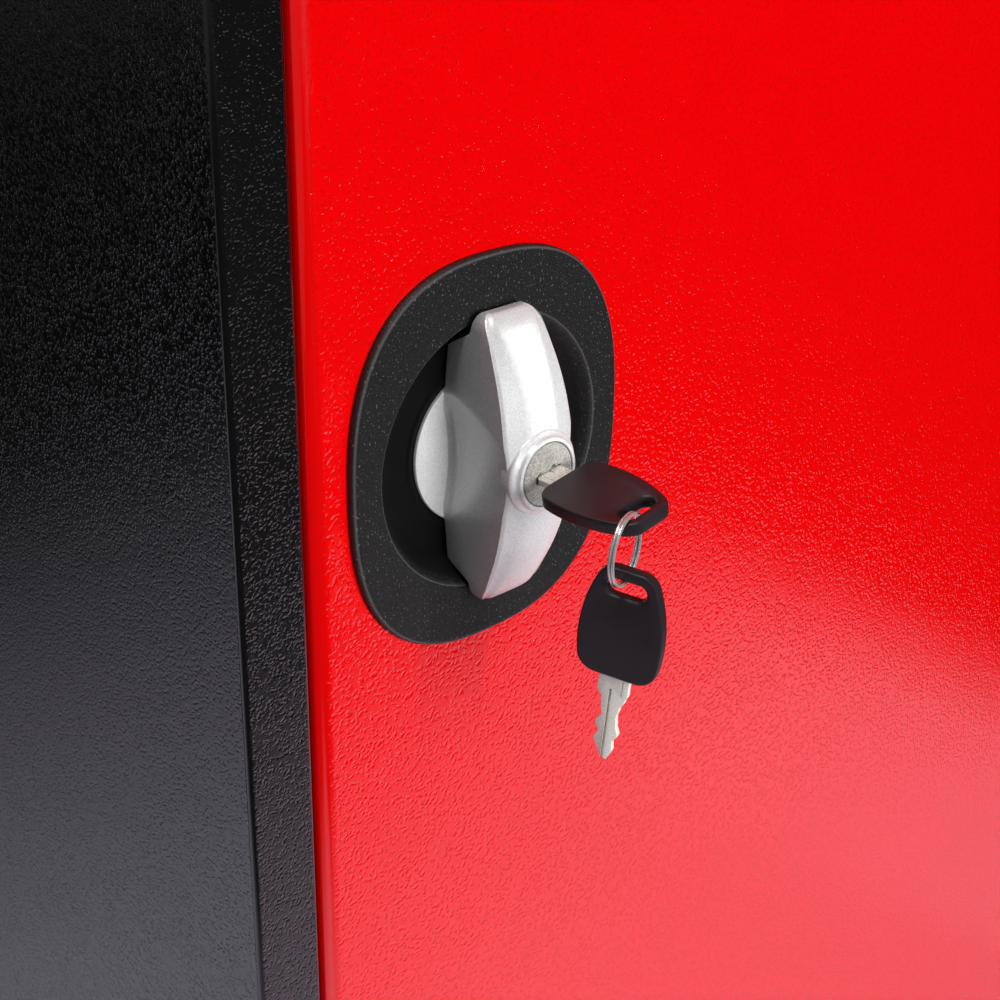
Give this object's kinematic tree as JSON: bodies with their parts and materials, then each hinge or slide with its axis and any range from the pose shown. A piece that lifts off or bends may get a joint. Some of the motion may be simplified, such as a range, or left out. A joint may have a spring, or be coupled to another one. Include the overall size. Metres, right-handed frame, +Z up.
{
  "type": "small parts cabinet",
  "caption": "Steel cabinet with one inset door, a recessed turn-handle lock with rods and keys, and shelves of open-fronted bins for small parts.",
  "frame": {"origin": "centre of the base, on the surface that the cabinet stands on", "axes": "+Z up, the door faces -Y, +X to the right of someone facing the door"},
  "size_m": [0.6, 0.3806, 1],
  "materials": {
    "black_paint": "fine leather-grain powder coat, black",
    "grey_paint": "smooth dark grey powder coat",
    "zinc": "bright zinc plating",
    "white_nylon": "natural nylon",
    "bin_plastic": "moulded polypropylene, red",
    "red_paint": "leather-grain powder coat, bright red",
    "black_plastic": "spark-grained moulding, black",
    "silver_paint": "fine metallic silver paint on a die casting",
    "lock_nickel": "cast and nickel plated, grainy",
    "key_nickel": "nickel plated",
    "bow_plastic": "semi-matte moulding, black",
    "ring_steel": "bright steel wire"
  },
  "bodies": {
    "cabinet": {"left_side_panel": "black_paint", "right_side_panel": "black_paint", "top_panel": "black_paint", "bottom_panel": "black_paint", "back_panel": "black_paint", "door_stops": "black_paint", "shelf_strips_left": "grey_paint", "shelf_strips_right": "grey_paint", "shelf_1": "grey_paint", "shelf_2": "grey_paint", "shelf_3": "grey_paint", "shelf_4": "grey_paint", "shelf_clips": "zinc", "upper_hinge_pin": "zinc", "lower_hinge_pin": "zinc", "lower_hinge_washer": "white_nylon", "bin_1_1": "bin_plastic", "bin_1_2": "bin_plastic", "bin_1_3": "bin_plastic", "bin_1_4": "bin_plastic", "bin_2_1": "bin_plastic", "bin_2_2": "bin_plastic", "bin_2_3": "bin_plastic", "bin_2_4": "bin_plastic", "bin_3_1": "bin_plastic", "bin_3_2": "bin_plastic", "bin_3_3": "bin_plastic", "bin_3_4": "bin_plastic", "bin_4_1": "bin_plastic", "bin_4_2": "bin_plastic", "bin_4_3": "bin_plastic", "bin_4_4": "bin_plastic", "bin_5_1": "bin_plastic", "bin_5_2": "bin_plastic", "bin_5_3": "bin_plastic", "bin_5_4": "bin_plastic"},
    "door": {"door_panel": "red_paint", "door_stiffener": "red_paint", "hinge_bushes": "white_nylon", "lock_escutcheon": "black_plastic", "lock_case": "zinc", "case_screws": "zinc", "upper_rod_guide": "black_plastic", "lower_rod_guide": "black_plastic"},
    "upper_rod": {"upper_rod": "zinc"},
    "lower_rod": {"lower_rod": "zinc"},
    "handle": {"turn_handle": "silver_paint", "lock_barrel": "lock_nickel", "cam_plate": "zinc", "cam_pins": "zinc", "cam_screw": "zinc"},
    "lock_bolt": {"lock_bolt": "zinc"},
    "plug": {"lock_plug": "lock_nickel"},
    "key": {"key_blade": "key_nickel", "key_bow": "bow_plastic"},
    "key_ring": {"key_ring": "ring_steel"},
    "spare_key": {"spare_key_blade": "key_nickel", "spare_key_bow": "bow_plastic"}
  },
  "joints": [
    {"name": "door_swing", "type": "hinge", "parent": "cabinet", "child": "door", "pos_m": [0.263, -0.144, 0.5], "axis": [0, 0, 1], "range_deg": [0, 115]},
    {"name": "handle_turn", "type": "hinge", "parent": "door", "child": "handle", "pos_m": [-0.203, -0.15, 0.5], "axis": [0, -1, 0], "range_deg": [0, 90]},
    {"name": "upper_rod_slide", "type": "slide", "parent": "door", "child": "upper_rod", "axis": [0, 0, 1], "range_m": [0, 0.01697]},
    {"name": "lower_rod_slide", "type": "slide", "parent": "door", "child": "lower_rod", "axis": [0, 0, -1], "range_m": [0, 0.01697]},
    {"name": "key_turn", "type": "hinge", "parent": "handle", "child": "plug", "pos_m": [-0.203, -0.15, 0.5], "axis": [0, -1, 0], "range_deg": [-10, 80]},
    {"name": "lock_bolt_slide", "type": "slide", "parent": "handle", "child": "lock_bolt", "axis": [1, 0, 0], "range_m": [-0.00041, 0.00327]},
    {"name": "key_pull", "type": "slide", "parent": "plug", "child": "key", "axis": [0, -1, 0], "range_m": [0, 0.04]},
    {"name": "ring_swing", "type": "hinge", "parent": "key", "child": "key_ring", "pos_m": [-0.20999, -0.21725, 0.49877], "axis": [0.342, -0.9397, 0], "range_deg": [-75, 10]},
    {"name": "spare_slide", "type": "hinge", "parent": "key_ring", "child": "spare_key", "pos_m": [-0.20999, -0.21725, 0.49139], "axis": [0.342, -0.9397, 0], "range_deg": [-35, 35]}
  ],
  "couplings": [
    {"joint": "upper_rod_slide", "follows": "handle_turn", "m_per_rad": 0.010804},
    {"joint": "lower_rod_slide", "follows": "handle_turn", "m_per_rad": 0.010804},
    {"joint": "lock_bolt_slide", "follows": "key_turn", "m_per_rad": 0.0023408}
  ]
}
